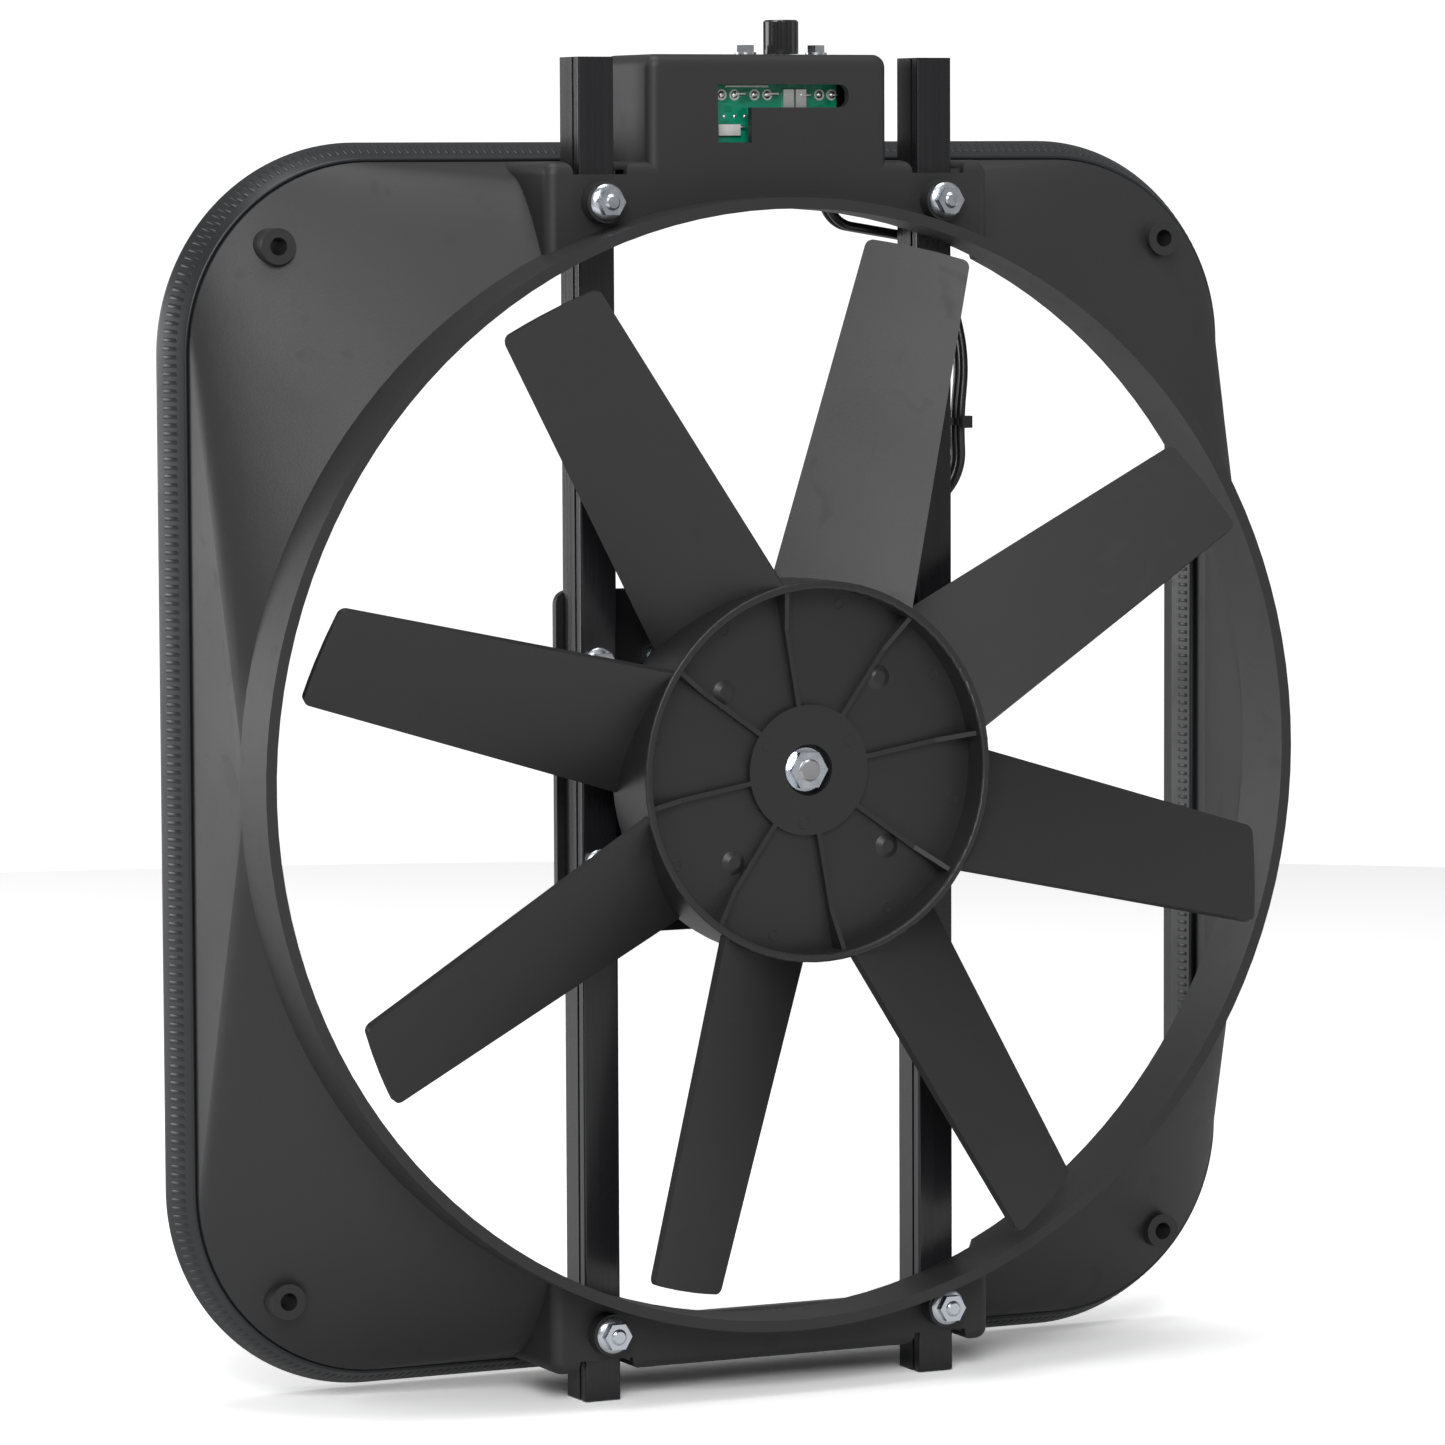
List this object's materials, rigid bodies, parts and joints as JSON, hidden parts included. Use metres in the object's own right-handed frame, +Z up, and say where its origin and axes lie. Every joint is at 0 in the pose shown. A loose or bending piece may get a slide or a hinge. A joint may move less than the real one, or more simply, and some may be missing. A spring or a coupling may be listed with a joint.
{
  "type": "electric radiator cooling fan",
  "caption": "Electric puller fan for a vehicle radiator: straight-bladed fan and motor on two slotted rails in a square shroud with a sealed rim and a control box.",
  "frame": {"origin": "on the fan's rotation axis, in the plane of the back edge of the shroud's rim", "axes": "+Y towards the radiator, -Y out of the fan's front (engine side), +Z up towards the control box, +X to the right seen from the front"},
  "size_m": [0.4254, 0.1112, 0.4929],
  "materials": {
    "shroud": "fine grained black moulding",
    "seal": "satin black rubber",
    "rail": "satin black coating on aluminium",
    "zinc": "bright zinc plating",
    "steel_black": "satin black paint",
    "bearing": "ground steel",
    "magnet": "dark ferrite",
    "insulator": "brown laminate",
    "carbon": "carbon",
    "brass": "bright",
    "steel": "turned steel",
    "core": "stacked sheet steel",
    "copper": "copper",
    "fan": "satin black moulding",
    "circuit_board": "green lacquer",
    "solder": "tinned",
    "relay": "dark blue case",
    "rubber": "matt black rubber",
    "knob": "gloss black",
    "lead": "black insulation",
    "tie": "black nylon"
  },
  "bodies": {
    "frame": {"shroud": "shroud", "edge_seal": "seal", "rail_left": "rail", "rail_right": "rail", "rail_bolts": "zinc", "rail_nuts": "zinc", "motor_bracket": "steel_black", "bracket_bolts": "zinc", "bracket_nuts": "zinc", "motor_screws": "zinc", "motor_screw_nuts": "zinc", "motor_can": "steel_black", "motor_end_bell": "steel_black", "motor_through_bolts": "zinc", "motor_through_nuts": "zinc", "front_bearing": "bearing", "rear_bearing": "bearing", "magnets": "magnet", "brush_holder": "insulator", "brushes": "carbon", "brush_springs": "brass", "control_board": "circuit_board", "board_screws": "zinc", "solder_joints": "solder", "board_terminals": "solder", "relays": "relay", "capacitor": "relay", "control_cover": "shroud", "cover_screws": "zinc", "box_grommet": "rubber", "top_screws": "zinc", "pot_bracket": "zinc", "potentiometer": "zinc", "motor_leads": "lead", "lead_tie": "tie", "motor_grommet": "rubber"},
    "rotor": {"fan": "fan", "motor_shaft": "steel", "armature_core": "core", "armature_windings": "copper", "commutator": "copper", "drive_pin": "steel", "hub_washer": "zinc", "hub_nut": "zinc"},
    "knob": {"control_knob": "knob", "pot_shaft": "steel"}
  },
  "joints": [
    {"name": "rotor_spin", "type": "hinge", "parent": "frame", "child": "rotor", "pos_m": [0, -0.04, 0], "axis": [0, 1, 0], "continuous": true},
    {"name": "knob_turn", "type": "hinge", "parent": "frame", "child": "knob", "pos_m": [0.0137, -0.038, 0.26], "axis": [0, 0, 1], "range_deg": [-140, 140]}
  ]
}
